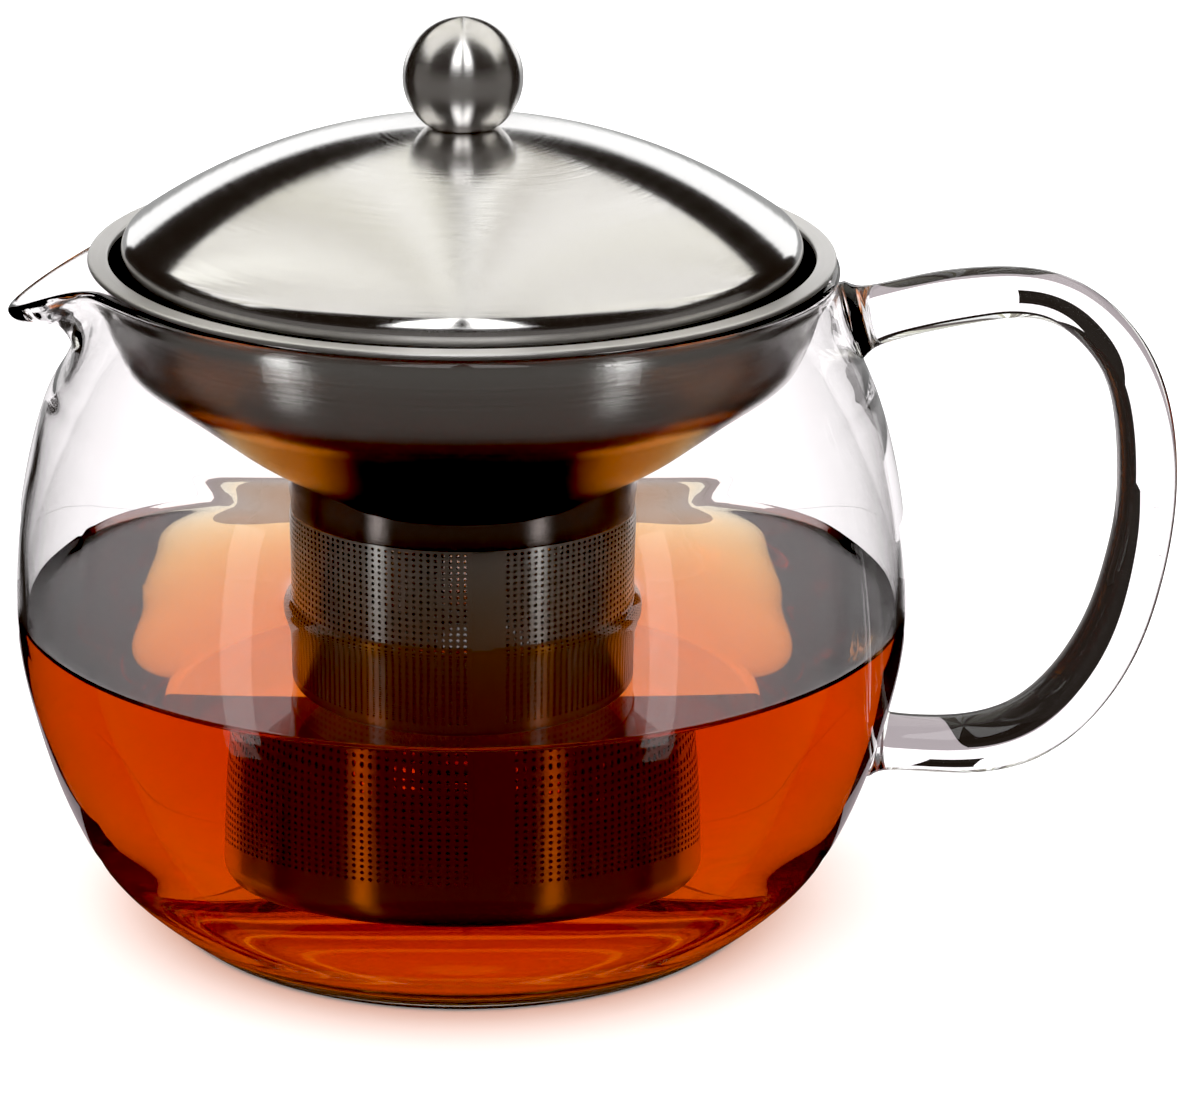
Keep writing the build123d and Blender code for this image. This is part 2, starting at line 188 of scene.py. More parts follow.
def brushed(name, color, rough_lo, rough_hi, aniso, fine, bump, low=None):
    """Turned or brushed stainless: rings about Z, in the gloss and in a very fine relief."""
    m, nt, b = new_mat(name)
    b.inputs["Base Color"].default_value = (*color, 1)
    b.inputs["Metallic"].default_value = 1.0
    b.inputs["Anisotropic"].default_value = aniso
    b.inputs["Anisotropic Rotation"].default_value = 0.25
    tan = nt.nodes.new("ShaderNodeTangent")
    tan.direction_type = "RADIAL"
    tan.axis = "Z"
    nt.links.new(tan.outputs["Tangent"], b.inputs["Tangent"])
    tc = nt.nodes.new("ShaderNodeTexCoord")
    sep = nt.nodes.new("ShaderNodeSeparateXYZ")
    nt.links.new(tc.outputs["Object"], sep.inputs[0])
    flat = nt.nodes.new("ShaderNodeCombineXYZ")
    nt.links.new(sep.outputs["X"], flat.inputs["X"])
    nt.links.new(sep.outputs["Y"], flat.inputs["Y"])
    ln = nt.nodes.new("ShaderNodeVectorMath")
    ln.operation = "LENGTH"
    nt.links.new(flat.outputs[0], ln.inputs[0])
    add = nt.nodes.new("ShaderNodeMath")
    add.operation = "ADD"
    nt.links.new(ln.outputs["Value"], add.inputs[0])
    nt.links.new(sep.outputs["Z"], add.inputs[1])
    if low:
        # painted shade: the base colour darkens below the knuckle, so the cone reflects less of the bright tea
        painted_shade_z = nt.nodes.new("ShaderNodeMapRange")
        painted_shade_z.interpolation_type = "SMOOTHSTEP"
        painted_shade_z.inputs["From Min"].default_value = low[1]
        painted_shade_z.inputs["From Max"].default_value = low[2]
        nt.links.new(sep.outputs["Z"], painted_shade_z.inputs["Value"])
        painted_shade_ramp = nt.nodes.new("ShaderNodeValToRGB")
        painted_shade_ramp.color_ramp.elements[0].color = (*low[0], 1)
        painted_shade_ramp.color_ramp.elements[1].color = (*color, 1)
        nt.links.new(painted_shade_z.outputs["Result"], painted_shade_ramp.inputs["Fac"])
        nt.links.new(painted_shade_ramp.outputs["Color"], b.inputs["Base Color"])
    rings = nt.nodes.new("ShaderNodeTexNoise")
    rings.noise_dimensions = "1D"
    rings.inputs["Scale"].default_value = fine
    rings.inputs["Detail"].default_value = 6.0
    rings.inputs["Roughness"].default_value = 0.65
    nt.links.new(add.outputs[0], rings.inputs["W"])
    cloud = nt.nodes.new("ShaderNodeTexNoise")
    cloud.inputs["Scale"].default_value = 28.0
    cloud.inputs["Detail"].default_value = 3.0
    nt.links.new(tc.outputs["Object"], cloud.inputs["Vector"])
    mix = nt.nodes.new("ShaderNodeMath")
    mix.operation = "MULTIPLY_ADD"
    mix.inputs[1].default_value = 0.45
    nt.links.new(cloud.outputs["Fac"], mix.inputs[0])
    half = nt.nodes.new("ShaderNodeMath")
    half.operation = "MULTIPLY"
    half.inputs[1].default_value = 0.55
    nt.links.new(rings.outputs["Fac"], half.inputs[0])
    nt.links.new(half.outputs[0], mix.inputs[2])
    rng = nt.nodes.new("ShaderNodeMapRange")
    rng.inputs["From Min"].default_value = 0.3
    rng.inputs["From Max"].default_value = 0.7
    rng.inputs["To Min"].default_value = rough_lo
    rng.inputs["To Max"].default_value = rough_hi
    nt.links.new(mix.outputs[0], rng.inputs["Value"])
    nt.links.new(rng.outputs["Result"], b.inputs["Roughness"])
    bp = nt.nodes.new("ShaderNodeBump")
    bp.inputs["Strength"].default_value = bump
    bp.inputs["Distance"].default_value = 0.00005
    nt.links.new(rings.outputs["Fac"], bp.inputs["Height"])
    nt.links.new(bp.outputs[0], b.inputs["Normal"])
    return m


def polished(name, color, lo, hi):
    m, nt, b = new_mat(name)
    b.inputs["Base Color"].default_value = (*color, 1)
    b.inputs["Metallic"].default_value = 1.0
    tc = nt.nodes.new("ShaderNodeTexCoord")
    n = nt.nodes.new("ShaderNodeTexNoise")
    n.inputs["Scale"].default_value = 90.0
    n.inputs["Detail"].default_value = 4.0
    nt.links.new(tc.outputs["Object"], n.inputs["Vector"])
    rng = nt.nodes.new("ShaderNodeMapRange")
    rng.inputs["From Min"].default_value = 0.3
    rng.inputs["From Max"].default_value = 0.7
    rng.inputs["To Min"].default_value = lo
    rng.inputs["To Max"].default_value = hi
    nt.links.new(n.outputs["Fac"], rng.inputs["Value"])
    nt.links.new(rng.outputs["Result"], b.inputs["Roughness"])
    return m


def clear(name, ior, color=(1, 1, 1), wave=0.0, absorb=None):
    m, nt, b = new_mat(name)
    b.inputs["Base Color"].default_value = (*color, 1)
    b.inputs["Roughness"].default_value = 0.0
    b.inputs["IOR"].default_value = ior
    b.inputs["Transmission Weight"].default_value = 1.0
    if wave:
        tc = nt.nodes.new("ShaderNodeTexCoord")
        n = nt.nodes.new("ShaderNodeTexNoise")
        n.inputs["Scale"].default_value = 55.0
        n.inputs["Detail"].default_value = 1.0
        nt.links.new(tc.outputs["Object"], n.inputs["Vector"])
        bp = nt.nodes.new("ShaderNodeBump")
        bp.inputs["Strength"].default_value = wave
        bp.inputs["Distance"].default_value = 0.0004
        nt.links.new(n.outputs["Fac"], bp.inputs["Height"])
        nt.links.new(bp.outputs[0], b.inputs["Normal"])
    if absorb:
        v = nt.nodes.new("ShaderNodeVolumeAbsorption")
        v.inputs["Color"].default_value = (*absorb[0], 1)
        v.inputs["Density"].default_value = absorb[1]
        nt.links.new(v.outputs[0], nt.nodes["Material Output"].inputs["Volume"])
    return m


M_GLASS = clear("pot glass", 1.5, (0.985, 0.99, 0.985), wave=0.05)
M_TEA = clear("tea", 1.333, (1, 1, 1), absorb=((0.915, 0.585, 0.08), 70.0))
M_LID = brushed("lid steel", (0.86, 0.85, 0.84), 0.10, 0.16, 0.9, 1700.0, 0.6)
# painted shade: below the knuckle (z 85.5 to 88.5 mm) the bowl steel's base colour darkens to (0.26, 0.225, 0.215),
# so the cone and the collar reflect less of the bright tea
M_BOWL = brushed("brushed steel", (0.66, 0.645, 0.635), 0.16, 0.23, 0.9, 1700.0, 0.5, low=((0.26, 0.225, 0.215), 0.0855, 0.0885))
M_FLANGE = brushed("flange steel", (0.82, 0.805, 0.79), 0.36, 0.50, 0.6, 3200.0, 0.6)
M_TUBE = brushed("perforated steel", (0.66, 0.64, 0.62), 0.28, 0.35, 0.9, 1500.0, 0.12)
M_BALL = brushed("polished steel", (0.86, 0.845, 0.83), 0.19, 0.25, 0.9, 2600.0, 0.15)

# ------------------------------------------------------------------ pot glass
# ring angles, closer together around the lip at -X
ring = []
a = 0.0
while a < 360.0 - 1e-9:
    ring.append(math.radians(a))
    d = abs(((a + 1e-6) - 180.0 + 180.0) % 360.0 - 180.0)
    off = abs(a - 180.0)
    a += 0.6 if off < 33.0 else 1.8
rows = [((0.0, 0.35), None), ((12.0, 0.35), None), ((30.0, 0.3), None), ((40.0, 0.2), None), ((44.0, 0.02), None),
        ((46.4, 0.0), None)]
outer = spline(OUTER + [b for b, _ in NECK_OUT[:10]], 5)
outer = outer[:5 * (len(OUTER) - 1) + 1]
rows += [(p, None) for p in outer]
neck_b = spline([OUTER[-1]] + [b for b, _ in NECK_OUT] + [INNER[-1]], 4)
neck_l = spline([OUTER[-1]] + [l for _, l in NECK_OUT] + [INNER[-1]], 4)
rows += [(b, l) for b, l in zip(neck_b[1:-1], neck_l[1:-1])]
inner = spline(INNER + [b for b, _ in NECK_OUT[::-1][:8]], 5)
inner = inner[:5 * (len(INNER) - 1) + 1][::-1]
rows += [(p, None) for p in inner]
rows += [((34.0, 4.15), None), ((26.0, 3.95), None), ((14.0, 3.85), None), ((0.0, 3.8), None)]
gv, gr = [], []
for base, lip in rows:
    if base[0] < 1e-6:
        gr.append([len(gv)])
        gv.append((0.0, 0.0, base[1] * MM))
        continue
    gr.append(list(range(len(gv), len(gv) + len(ring))))
    for t in ring:
        r, z = base
        if lip is not None:
            d = math.degrees(t) - 180.0
            wr = math.exp(-((d / 10.3) ** 2))
            wz = 0.75 * math.exp(-((d / 9.0) ** 2)) + 0.25 * math.exp(-((d / 20.0) ** 2))
            r += wr * (lip[0] - base[0])
            z += wz * (lip[1] - base[1])
        gv.append((r * MM * math.cos(t), r * MM * math.sin(t), z * MM))
gf = []
for j in range(len(gr) - 1):
    p, q = gr[j], gr[j + 1]
    n = len(ring)
    for i in range(n):
        k = (i + 1) % n
        if len(p) == 1:
            gf.append((p[0], q[k], q[i]))
        elif len(q) == 1:
            gf.append((p[i], p[k], q[0]))
        else:
            gf.append((p[i], p[k], q[k], q[i]))
glass = make("pot_glass", gv, gf, None, sharp=0)
flip_if_inside_out(glass)

# handle rod with its two roots opening out into the wall
path = spline([(h[0], h[1], h[2]) for h in HANDLE], 6)
pv, pf = [], []
SIDE = 40
length = [0.0]
for i in range(1, len(path)):
    length.append(length[-1] + math.hypot(path[i][0] - path[i - 1][0], path[i][1] - path[i - 1][1]))
for i, (x, z, dia) in enumerate(path):
    i0, i1 = max(i - 1, 0), min(i + 1, len(path) - 1)
    tx, tz = path[i1][0] - path[i0][0], path[i1][1] - path[i0][1]
    n = math.hypot(tx, tz)
    tx, tz = tx / n, tz / n
    s0, s1 = length[i] - 2.6, length[-1] - length[i] - 2.4
    flare = 1.5 * math.exp(-max(s0, 0) / 1.3) + 1.3 * math.exp(-max(s1, 0) / 1.3)
    r = dia / 2 + flare
    for k in range(SIDE):
        c, s = math.cos(2 * PI * k / SIDE), math.sin(2 * PI * k / SIDE)
        pv.append(((x - tz * r * c) * MM, r * s * MM, (z + tx * r * c) * MM))
for i in range(len(path) - 1):
    for k in range(SIDE):
        m = (k + 1) % SIDE
        pf.append((i * SIDE + k, i * SIDE + m, (i + 1) * SIDE + m, (i + 1) * SIDE + k))
pf.append(tuple(range(SIDE))[::-1])
pf.append(tuple((len(path) - 1) * SIDE + k for k in range(SIDE)))
rod = make("rod", pv, pf, None, sharp=0)
flip_if_inside_out(rod)
bpy.context.view_layer.update()
mod = glass.modifiers.new("join", "BOOLEAN")
mod.operation = "UNION"
mod.solver = "EXACT"
mod.object = rod
dg = bpy.context.evaluated_depsgraph_get()
joined = bpy.data.meshes.new_from_object(glass.evaluated_get(dg))
glass.modifiers.clear()
glass.data = joined
bpy.data.objects.remove(rod, do_unlink=True)
glass.data.materials.clear()
glass.data.materials.append(M_GLASS)
glass.data.shade_smooth()
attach(glass, "pot")
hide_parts("pot_body", "pot_handle")

# ------------------------------------------------------------------ tea
wall = [(r + 0.16, z) for r, z in spline(INNER + [b for b, _ in NECK_OUT[::-1][:8]], 5)]
wall = [(r, z) for r, z in wall if z < LEVEL - 0.2]
rl = 68.3 + 0.16
tea_prof = [(0.0, 3.8 - 0.16), (14.0, 3.85 - 0.16), (26.0, 3.95 - 0.16), (34.0, 4.15 - 0.16), (39.5, 4.4)] + wall[1:]
tea_prof += [(rl, LEVEL + 0.6), (rl, LEVEL + 1.5), (rl - 0.3, LEVEL + 1.25), (rl - 0.7, LEVEL + 0.72), (rl - 1.2, LEVEL + 0.34),
             (rl - 1.9, LEVEL + 0.12), (rl - 2.8, LEVEL + 0.02), (rl - 4.0, LEVEL), (50.0, LEVEL), (36.0, LEVEL),
             (30.6, LEVEL), (29.4, LEVEL + 0.04), (28.5, LEVEL + 0.18), (27.8, LEVEL + 0.5), (27.3, LEVEL + 0.95), (26.9, LEVEL + 1.35),
             (26.6, LEVEL + 1.35), (26.3, LEVEL + 0.9), (25.7, LEVEL + 0.4), (24.8, LEVEL + 0.1), (23.5, LEVEL), (12.0, LEVEL), (0.0, LEVEL)]
tea = lathe("tea", tea_prof, "pot", seg=256, sharp=50.0)
flip_if_inside_out(tea)
tea.data.materials.append(M_TEA)

# ------------------------------------------------------------------ infuser
flange = lathe("infuser_flange_turned",
               [(FLANGE_IN, FLANGE_Z0)] + [(FLANGE_IN, FLANGE_Z1 - 0.25), (FLANGE_IN + 0.08, FLANGE_Z1 - 0.08), (FLANGE_IN + 0.25, FLANGE_Z1)]
               + [(FLANGE_IN + 0.25 + (FLANGE_R - 0.45 - FLANGE_IN - 0.25) * i / 6, FLANGE_Z1) for i in range(1, 6)]
               + arc(FLANGE_R - 0.45, (FLANGE_Z0 + FLANGE_Z1) / 2, 0.45, 90, -90, 10),
               "infuser", ["infuser_flange"], sharp=40.0)
flip_if_inside_out(flange)
flange.data.materials.append(M_FLANGE)

b_out = spline(BOWL[:8], 6) + [(BOWL[7][0] + (BOWL[-1][0] - BOWL[7][0]) * i / 5, BOWL[7][1] + (BOWL[-1][1] - BOWL[7][1]) * i / 5) for i in range(1, 6)]
inner_b = [(r - (BOWL_T if i < 5 else BOWL_T * 0.8), z + (0.0 if i < 5 else 0.45)) for i, (r, z) in enumerate(BOWL)]
b_in = [(BOWL[-1][0] - 0.9, BOWL[-1][1])] + spline([inner_b[i] for i in range(7, 0, -1)] + [(BOWL[0][0] - BOWL_T, BOWL[0][1])], 5)
bowl = lathe("infuser_bowl_spun", b_out + b_in, "infuser", ["infuser_bowl"], sharp=40.0)
flip_if_inside_out(bowl)
bowl.data.materials.append(M_BOWL)

collar = lathe("infuser_collar_ring",
               [(TUBE_R - TUBE_T, COLLAR_TOP), (TUBE_R - TUBE_T, COLLAR_BOTTOM), (COLLAR_R - 0.25, COLLAR_BOTTOM)]
               + arc(COLLAR_R - 0.25, COLLAR_BOTTOM + 0.25, 0.25, -60, 0, 4) + [(COLLAR_R, 68.6), (COLLAR_R, COLLAR_TOP)],
               "infuser", ["infuser_collar"], sharp=40.0)
flip_if_inside_out(collar)
collar.data.materials.append(M_BOWL)

# perforated tube: a square grid of round holes through the sheet, with a plain
# strip beside the lap seam
COLS, ROWS = 146, 48
HOLE_R = 0.30
a0 = math.radians(-90.0 + PLAIN_TO + 0.3)
a1 = math.radians(-90.0 + 360.0 + SEAM_FROM - 1.0)
za, zb = 19.35, 66.0


def sheet_point(r, ang, z):
    return (r * MM * math.cos(ang), r * MM * math.sin(ang), z * MM)


tv, tf = [], []
grid = {}
for side, rad in enumerate((TUBE_R, TUBE_R - TUBE_T)):
    for j in range(ROWS + 1):
        z = za + (zb - za) * j / ROWS
        for i in range(COLS + 1):
            grid[side, i, j] = len(tv)
            tv.append(sheet_point(rad, a0 + (a1 - a0) * i / COLS, z))
ca = (a1 - a0) / COLS
cz = (zb - za) / ROWS
OCT = [math.radians(22.5 + 45 * k) for k in range(8)]
for j in range(ROWS):
    for i in range(COLS):
        cen_a, cen_z = a0 + ca * (i + 0.5), za + cz * (j + 0.5)
        holes = []
        for side, rad in enumerate((TUBE_R, TUBE_R - TUBE_T)):
            h0 = len(tv)
            tv += [sheet_point(rad, cen_a + HOLE_R * math.cos(o) / TUBE_R, cen_z + HOLE_R * math.sin(o)) for o in OCT]
            holes.append(h0)
            bl, br, tr, tl = grid[side, i, j], grid[side, i + 1, j], grid[side, i + 1, j + 1], grid[side, i, j + 1]
            # octagon points: 0,1 upper right; 2,3 upper left; 4,5 lower left; 6,7 lower right
            cell = [(br, tr, h0 + 0, h0 + 7), (tr, h0 + 1, h0 + 0), (tr, tl, h0 + 2, h0 + 1), (tl, h0 + 3, h0 + 2),
                    (tl, bl, h0 + 4, h0 + 3), (bl, h0 + 5, h0 + 4), (bl, br, h0 + 6, h0 + 5), (br, h0 + 7, h0 + 6)]
            tf += cell if side == 0 else [c[::-1] for c in cell]
        for k in range(8):
            m = (k + 1) % 8
            tf.append((holes[0] + k, holes[0] + m, holes[1] + m, holes[1] + k))
# plain strip, lower and upper bands
strip = [math.radians(-90.0 + SEAM_FROM - 1.0 + (PLAIN_TO + 0.3 - SEAM_FROM + 1.0) * i / 12) for i in range(13)]
for side, rad in enumerate((TUBE_R, TUBE_R - TUBE_T)):
    base = len(tv)
    for ang in strip:
        tv.append(sheet_point(rad, ang, za))
        tv.append(sheet_point(rad, ang, zb))
    for i in range(12):
        f = (base + 2 * i, base + 2 * i + 2, base + 2 * i + 3, base + 2 * i + 1)
        tf.append(f if side == 0 else f[::-1])
full = [2 * PI * i / 192 for i in range(192)]
for z0, z1 in ((TUBE_BOTTOM, za), (zb, COLLAR_BOTTOM)):
    v, f = lathe_data([(TUBE_R, z0), (TUBE_R, z1), (TUBE_R - TUBE_T, z1), (TUBE_R - TUBE_T, z0)], full)
    base = len(tv)
    tv += v
    tf += [tuple(base + q for q in fc) for fc in f]
tube = make("infuser_tube_perforated", tv, tf, "infuser", ["infuser_tube"], sharp=30.0)
tube.data.materials.append(M_TUBE)

# lap of the sheet standing on the tube
lap = [math.radians(-90.0 + SEAM_FROM + (SEAM_TO - SEAM_FROM) * i / 10) for i in range(11)]
sv, sf = [], []
for ang in lap:
    sv += [sheet_point(TUBE_R + 0.28, ang, 19.2), sheet_point(TUBE_R + 0.28, ang, 66.1),
           sheet_point(TUBE_R + 0.02, ang, 66.1), sheet_point(TUBE_R + 0.02, ang, 19.2)]
for i in range(10):
    p, q = 4 * i, 4 * i + 4
    for k in range(4):
        m = (k + 1) % 4
        sf.append((p + k, q + k, q + m, p + m))
sf += [(0, 1, 2, 3), (43, 42, 41, 40)]
seam = make("tube_seam_lap", sv, sf, "infuser", ["tube_seam"], sharp=30.0)
flip_if_inside_out(seam)
seam.data.materials.append(M_TUBE)

cap_prof = [(0.0, CAP_BOTTOM)] + [(r, CAP_BOTTOM) for r in (8.0, 16.0)] \
    + arc(TUBE_R - CAP_CORNER, CAP_BOTTOM + CAP_CORNER, CAP_CORNER, -90, 0, 12) + [(TUBE_R, TUBE_BOTTOM), (TUBE_R - CAP_T, TUBE_BOTTOM)] \
    + arc(TUBE_R - CAP_CORNER, CAP_BOTTOM + CAP_CORNER, CAP_CORNER - CAP_T, 0, -90, 10) + [(16.0, CAP_BOTTOM + CAP_T), (8.0, CAP_BOTTOM + CAP_T), (0.0, CAP_BOTTOM + CAP_T)]
cap = lathe("infuser_bottom_cap_pressed", cap_prof, "infuser", ["infuser_bottom_cap"], sharp=40.0)
flip_if_inside_out(cap)
cap.data.materials.append(M_TUBE)

# ------------------------------------------------------------------ lid
sc_r = LID_R - SHOULDER_R
sc_z = DOME_TOP - DOME_R + math.sqrt((DOME_R - SHOULDER_R) ** 2 - sc_r ** 2)
dome_c = DOME_TOP - DOME_R
ang = math.degrees(math.atan2(sc_z - dome_c, sc_r))
HOLE = 2.2


def dome_arc(radius, r0, r1, n):
    t0, t1 = math.asin(r0 / radius), math.asin(r1 / radius)
    return [(radius * math.sin(t0 + (t1 - t0) * i / n), dome_c + radius * math.cos(t0 + (t1 - t0) * i / n)) for i in range(n + 1)]


tan_r = sc_r + SHOULDER_R * math.cos(math.radians(ang))
tan_i = sc_r + (SHOULDER_R - LID_T) * math.cos(math.radians(ang))
dome_prof = dome_arc(DOME_R, HOLE, tan_r, 36) + arc(sc_r, sc_z, SHOULDER_R, ang, 0, 14)[1:] \
    + [(LID_R, LID_EDGE_Z + 0.2), (LID_R - 0.2, LID_EDGE_Z), (LID_R - LID_T, LID_EDGE_Z)] \
    + arc(sc_r, sc_z, SHOULDER_R - LID_T, 0, ang, 10) + dome_arc(DOME_R - LID_T, HOLE, tan_i, 24)[::-1][1:]
dome = lathe("lid_dome_spun", dome_prof, "lid", ["lid_dome"], seg=320, sharp=40.0)
flip_if_inside_out(dome)
dome.data.materials.append(M_LID)

skirt = lathe("lid_skirt_ring",
              [(SKIRT_OUT, SKIRT_TOP), (SKIRT_OUT, SKIRT_BOTTOM + 0.6), (SKIRT_OUT - 0.12, SKIRT_BOTTOM + 0.25), (SKIRT_OUT - 0.5, SKIRT_BOTTOM),
               (SKIRT_OUT - 0.5 - SKIRT_T, SKIRT_BOTTOM), (SKIRT_OUT - SKIRT_T, SKIRT_BOTTOM + 0.7), (SKIRT_OUT - SKIRT_T, SKIRT_TOP)],
              "lid", ["lid_skirt"], sharp=40.0)
flip_if_inside_out(skirt)
skirt.data.materials.append(M_BOWL)

foot = math.degrees(math.asin((BALL_FLAT_Z - BALL_Z) / BALL_R))
ball_prof = arc(0.0, BALL_Z, BALL_R, 90, foot, 60)
ball_prof[0] = (0.0, BALL_Z + BALL_R)
ball_prof += [(1.75, BALL_FLAT_Z), (1.75, BALL_FLAT_Z + 8.0), (0.0, BALL_FLAT_Z + 9.0)]
ball = lathe("knob_ball_polished", ball_prof, "lid", ["knob_ball"], seg=192, sharp=40.0)
flip_if_inside_out(ball)
ball.data.materials.append(M_BALL)

# the washer and the screw keep their CAD meshes
for name, mat in (("knob_washer", M_FLANGE), ("knob_screw", M_BALL)):
    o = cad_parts[name]
    o.data.materials.clear()
    o.data.materials.append(mat)

# ------------------------------------------------------------------ studio
def plane(name, corners, strength, color=(1, 1, 1), stripes=None):
    me = bpy.data.meshes.new(name)
    me.from_pydata(corners, [], [(0, 1, 2, 3)])
    o = bpy.data.objects.new(name, me)
    bpy.context.scene.collection.objects.link(o)
    m = bpy.data.materials.new(name)
    m.use_nodes = True
    nt = m.node_tree
    nt.nodes.clear()
    out = nt.nodes.new("ShaderNodeOutputMaterial")
    em = nt.nodes.new("ShaderNodeEmission")
    em.inputs["Color"].default_value = (*color, 1)
    em.inputs["Strength"].default_value = strength
    nt.links.new(em.outputs[0], out.inputs["Surface"])
    if stripes:
        tc = nt.nodes.new("ShaderNodeTexCoord")
        sep = nt.nodes.new("ShaderNodeSeparateXYZ")
        nt.links.new(tc.outputs["Object"], sep.inputs[0])
        no = nt.nodes.new("ShaderNodeTexNoise")
        no.noise_dimensions = "1D"
        no.inputs["Scale"].default_value = stripes
        no.inputs["Detail"].default_value = 3.0
        nt.links.new(sep.outputs["X"], no.inputs["W"])
        ramp = nt.nodes.new("ShaderNodeValToRGB")
        ramp.color_ramp.elements[0].position = 0.34
        ramp.color_ramp.elements[0].color = (0.42, 0.36, 0.34, 1)
        ramp.color_ramp.elements[1].position = 0.56
        ramp.color_ramp.elements[1].color = (1, 1, 0.97, 1)
        nt.links.new(no.outputs["Fac"], ramp.inputs["Fac"])
        nt.links.new(ramp.outputs["Color"], em.inputs["Color"])
    me.materials.append(m)
    m.cycles.emission_sampling = "NONE"
    o.visible_camera = False
    o.visible_diffuse = False
    o.visible_shadow = False
    return o


def floor_plane(name, x0, x1, y0, y1, z):
    me = bpy.data.meshes.new(name)
    me.from_pydata([(x0, y0, z), (x1, y0, z), (x1, y1, z), (x0, y1, z)], [], [(0, 1, 2, 3)])
    o = bpy.data.objects.new(name, me)
    bpy.context.scene.collection.objects.link(o)
    me.materials.append(M_FLOOR)
    return o


M_FLOOR, _nt, _b = new_mat("floor")
_b.inputs["Base Color"].default_value = (0.93, 0.93, 0.93, 1)
_b.inputs["Roughness"].default_value = 0.9
_b.inputs["Specular IOR Level"].default_value = 0.0
floor = floor_plane("floor", -6.0, 6.0, -6.0, 6.0, -0.00012)
floor.visible_glossy = False
floor.visible_transmission = False
table = plane("floor_under", [(0, 0, 0)] * 4, 1.3, (1.0, 0.985, 0.96))
me = bpy.data.meshes.new("floor_under_sheet")
under = [(0.062 * math.cos(math.radians(t)), 0.004 + 0.084 * math.sin(math.radians(t)), -0.00003) for t in range(0, 181, 6)]
me.from_pydata(under, [], [tuple(range(len(under)))])
me.materials.append(table.data.materials[0])
table.data = me
# floor sheets seen only through the glass and in reflections: the one just behind the pot is dimmer and tinted
# pink-purple, a painted shadow of the pot with tinted light in it; the far one is evenly bright
for nm, st, col, pts in (
        ("floor_behind_painted_shadow", 0.50, (1.0, 0.88, 0.93), [(-0.080, 0.01), (0.080, 0.01), (0.095, 0.09), (0.105, 0.112), (-0.105, 0.112), (-0.095, 0.09)]),
        ("floor_far", 1.42, (1.0, 0.95, 0.975), [(-0.105, 0.112), (0.105, 0.112), (0.17, 0.20), (-0.135, 0.20)])):
    around = plane(nm, [(0, 0, 0)] * 4, st, col)
    me = bpy.data.meshes.new(nm + "_sheet")
    me.from_pydata([(x, y, -0.00006) for x, y in pts], [], [tuple(range(len(pts)))])
    me.materials.append(around.data.materials[0])
    around.data = me

# the dark room that the steel and the glass mirror, and its soft lights
room = plane("room", [(0, 0, 0)] * 4, 1.0)
me = bpy.data.meshes.new("room_shell")
rv, rf = lathe_data([(0.0, -3500.0), (2500.0, -3400.0), (3500.0, -2000.0), (4500.0, 0.0), (4500.0, 1500.0), (3500.0, 3500.0), (0.0, 4500.0)],
                    [2 * PI * i / 48 for i in range(48)])
me.from_pydata(rv, [], [f for f in rf])
me.materials.append(room.data.materials[0])
room.data = me
em = room.data.materials[0].node_tree.nodes["Emission"]
em.inputs["Color"].default_value = (0.030, 0.026, 0.024, 1)
em.inputs["Strength"].default_value = 1.0


